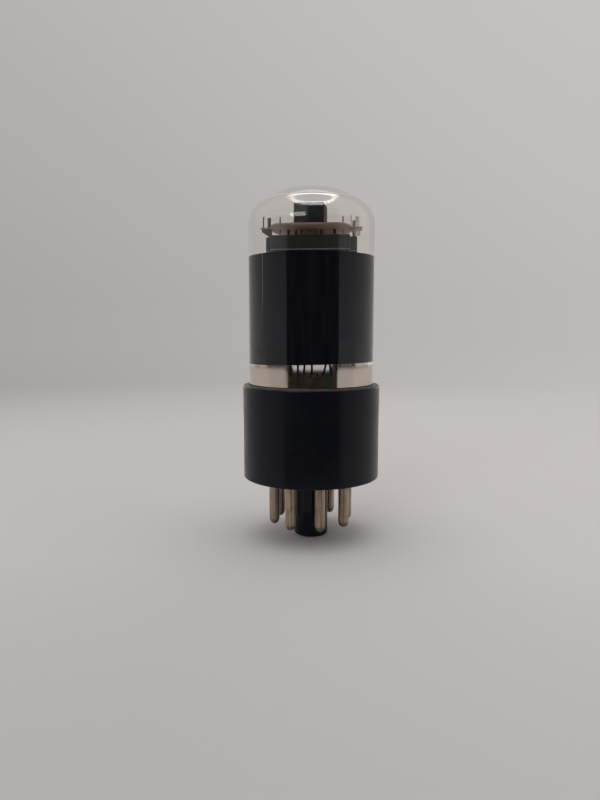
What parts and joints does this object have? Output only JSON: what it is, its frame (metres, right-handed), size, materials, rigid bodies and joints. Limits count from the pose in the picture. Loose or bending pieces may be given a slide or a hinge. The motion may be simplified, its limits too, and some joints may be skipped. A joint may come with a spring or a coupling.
{
  "type": "vacuum tube",
  "caption": "Tubular glass vacuum tube with a domed top, black inner coating, silvery film, black octal plug-in base, round contact pins and a keyed locating post.",
  "frame": {"origin": "centre of the foot of the locating post, on the surface that the tube stands on", "axes": "+Z along the tube's axis towards the dome; the key rib on the post points to -Y"},
  "size_m": [0.0314, 0.0314, 0.0794],
  "materials": {
    "phenolic": "moulded black phenolic, glossy",
    "nickel_plate": "nickel-plated brass, dulled with age",
    "solder": "dull tin-lead solder",
    "basing_cement": "baked resin cement, matt",
    "bulb_glass": "clear blown glass",
    "stem_glass": "clear pressed glass",
    "carbon_coating": "black carbon coating on the inside of the glass",
    "getter_film": "silvery evaporated film",
    "lead_wire": "dark oxidised nickel wire",
    "mica": "brown split mica",
    "carbonised_nickel": "grey-green carbonised nickel sheet",
    "blackened_sheet": "blackened sheet metal",
    "nickel_wire": "bright nickel",
    "copper_rod": "copper, heat-tinted",
    "oxide_coating": "white oxide coating, matt",
    "heater_coating": "white alumina coating, matt"
  },
  "bodies": {
    "root": {"base_shell": "phenolic", "base_pin_1": "nickel_plate", "base_pin_2": "nickel_plate", "base_pin_3": "nickel_plate", "base_pin_4": "nickel_plate", "base_pin_5": "nickel_plate", "base_pin_6": "nickel_plate", "base_pin_7": "nickel_plate", "base_pin_8": "nickel_plate", "solder_tips": "solder", "basing_cement": "basing_cement", "glass_bulb": "bulb_glass", "glass_stem": "stem_glass", "exhaust_tube": "stem_glass", "carbon_band": "carbon_coating", "getter_mirror": "getter_film", "lead_1": "lead_wire", "lead_2": "lead_wire", "lead_3": "lead_wire", "lead_4": "lead_wire", "lead_5": "lead_wire", "lead_6": "lead_wire", "lead_7": "lead_wire", "lead_8": "lead_wire", "bottom_mica": "mica", "rectifier_top_mica": "mica", "pentode_bottom_mica": "mica", "top_mica": "mica", "plate_front": "carbonised_nickel", "plate_rear": "carbonised_nickel", "plate_rod_left": "nickel_wire", "plate_rod_right": "nickel_wire", "control_grid_rods": "copper_rod", "control_grid_winding": "copper_rod", "screen_grid_rods": "copper_rod", "screen_grid_winding": "nickel_wire", "beam_plate_left": "nickel_wire", "beam_plate_right": "nickel_wire", "pentode_cathode": "oxide_coating", "rectifier_cathode": "oxide_coating", "rectifier_plate": "carbonised_nickel", "heater": "heater_coating", "cathode_strap": "nickel_wire", "grid_radiator": "blackened_sheet", "bulb_spacer_left": "mica", "bulb_spacer_right": "mica", "getter_cup": "nickel_wire", "getter_strut": "nickel_wire"}
  },
  "joints": []
}
